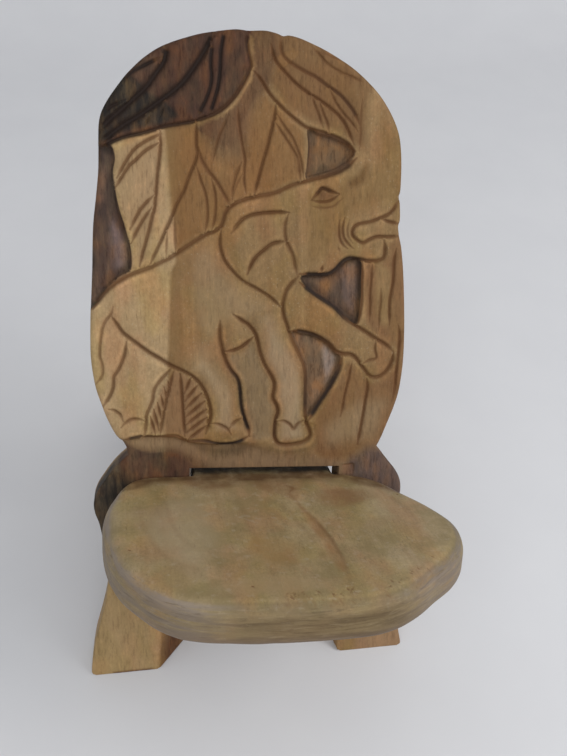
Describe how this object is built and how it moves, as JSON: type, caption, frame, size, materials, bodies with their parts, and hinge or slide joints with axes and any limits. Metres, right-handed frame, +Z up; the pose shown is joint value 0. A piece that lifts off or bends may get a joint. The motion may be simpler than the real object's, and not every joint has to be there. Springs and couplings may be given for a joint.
{
  "type": "toddler chair",
  "caption": "Low toddler chair of interlocking planks: a carved back plank leans on its legs, and a rounded seat plank passes its tongue through a slot to the floor behind.",
  "frame": {"origin": "on the floor under the middle of the whole chair", "axes": "+Z up, +X to the viewer's right when facing the carving, +Y to the rear; the carved face looks to -Y"},
  "size_m": [0.3062, 0.5112, 0.4867],
  "materials": {
    "back_wood": "oiled, with stained carving",
    "seat_wood": "worn smooth"
  },
  "bodies": {
    "back": {"back_plank": "back_wood"},
    "seat": {"seat_plank": "seat_wood"}
  },
  "joints": [
    {"name": "seat_slide", "type": "slide", "parent": "back", "child": "seat", "axis": [0, -0.8988, 0.4384], "range_m": [0, 0.4]}
  ]
}
